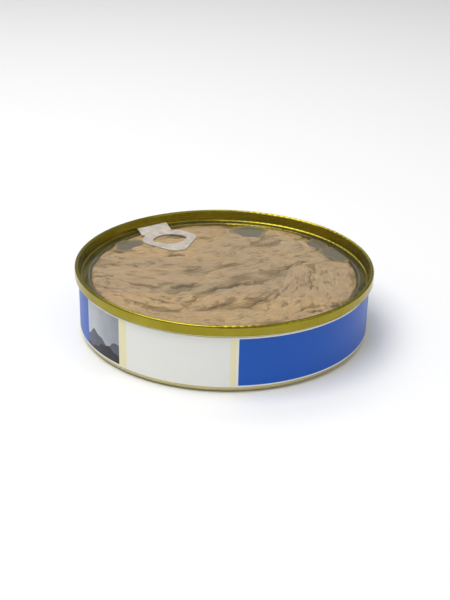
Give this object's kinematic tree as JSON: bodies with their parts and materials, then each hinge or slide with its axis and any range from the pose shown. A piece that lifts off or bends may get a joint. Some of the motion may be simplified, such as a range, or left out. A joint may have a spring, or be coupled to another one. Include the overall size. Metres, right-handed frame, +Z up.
{
  "type": "tuna can",
  "caption": "Shallow round metal fish tin with a seamed ring lid, a clear peel-off film with a pull tab, flaked fish in oil inside and a paper label round the wall.",
  "frame": {"origin": "middle of the base, on the plane that the tin stands on", "axes": "+Z up, -Y towards the label's front, +X to the right of someone facing the front"},
  "size_m": [0.1023, 0.1022, 0.0238],
  "materials": {
    "gold_lacquer": "clear gold lacquer over tinplate, glossy",
    "label_paper": "coated paper printed in blue, white and cream",
    "clear_film": "clear glossy peel film",
    "milky_film": "milky translucent film, faintly creased",
    "fish_flesh": "cooked flaked fish, moist, in fine fibres",
    "oil": "pale yellow-green cooking oil, clear"
  },
  "bodies": {
    "root": {"can_body": "gold_lacquer", "lid_ring": "gold_lacquer", "label": "label_paper", "lid_film": "clear_film", "pull_tab": "milky_film", "tuna": "fish_flesh", "oil": "oil"}
  },
  "joints": []
}
